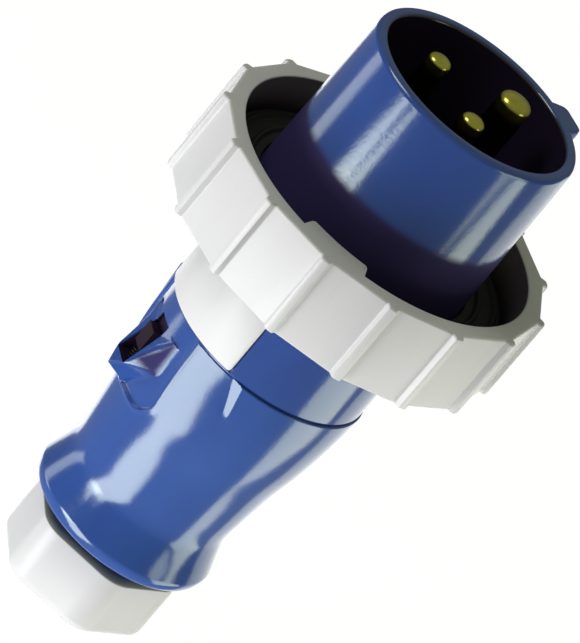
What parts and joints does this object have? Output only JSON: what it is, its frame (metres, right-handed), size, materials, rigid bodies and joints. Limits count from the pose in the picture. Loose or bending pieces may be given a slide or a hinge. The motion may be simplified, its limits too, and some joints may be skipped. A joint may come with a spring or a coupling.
{
  "type": "industrial plug",
  "caption": "Round industrial plug with male pins in a tubular shroud, a ribbed bayonet locking ring, a waisted handle with a sliding latch, and a hexagonal cable gland nut.",
  "frame": {"origin": "centre of the box's bottom, on the plug's axis at the flat outer end of the gland nut", "axes": "+Z along the plug's axis towards the mouth; +X across the axis, to the lower right in the picture; +Y away from the camera"},
  "size_m": [0.0755, 0.0754, 0.136],
  "materials": {
    "housing_blue": "glossy moulded polyamide",
    "handle_blue": "glossy moulded polyamide",
    "latch_blue": "glossy",
    "carrier_black": "matt",
    "ring_grey": "light satin gloss",
    "nut_grey": "light satin gloss",
    "gland_grey": "matt",
    "plate_white": "satin",
    "gasket_rubber": "smooth black rubber",
    "pin_brass": "bright turned",
    "screw_steel": "bright",
    "clip_steel": "spring steel"
  },
  "bodies": {
    "plug": {"front_housing": "housing_blue", "contact_carrier": "carrier_black", "pin_retainer": "carrier_black", "retainer_screw": "screw_steel", "terminal_screws": "screw_steel", "flange_gasket": "gasket_rubber", "retaining_clip": "clip_steel", "housing_seal": "gasket_rubber", "handle": "handle_blue", "latch_spring": "clip_steel", "label_plate": "plate_white", "gland_seal": "gasket_rubber", "gland_clamp": "gland_grey", "line_pin": "pin_brass", "neutral_pin": "pin_brass", "earth_pin": "pin_brass"},
    "locking_ring": {"bayonet_ring": "ring_grey"},
    "washer": {"gland_washer": "gland_grey"},
    "nut": {"gland_nut": "nut_grey"},
    "latch": {"housing_latch": "latch_blue"}
  },
  "joints": [
    {"name": "locking_ring_turn", "type": "hinge", "parent": "plug", "child": "locking_ring", "pos_m": [0, 0, 0.0867], "axis": [0, 0, 1], "continuous": true},
    {"name": "washer_travel", "type": "slide", "parent": "plug", "child": "washer", "axis": [0, 0, 1], "range_m": [-0.008, 0]},
    {"name": "nut_turn", "type": "hinge", "parent": "washer", "child": "nut", "pos_m": [0, 0, 0], "axis": [0, 0, 1], "range_deg": [-1440.5, 0]},
    {"name": "latch_slide", "type": "slide", "parent": "plug", "child": "latch", "axis": [0, 0, 1], "range_m": [-0.002, 0], "stiffness_N_per_m": 300, "springref_m": 0.003, "deforming": ["latch_spring"]}
  ],
  "couplings": [
    {"joint": "nut_turn", "follows": "washer_travel", "rad_per_m": 3141.6}
  ]
}
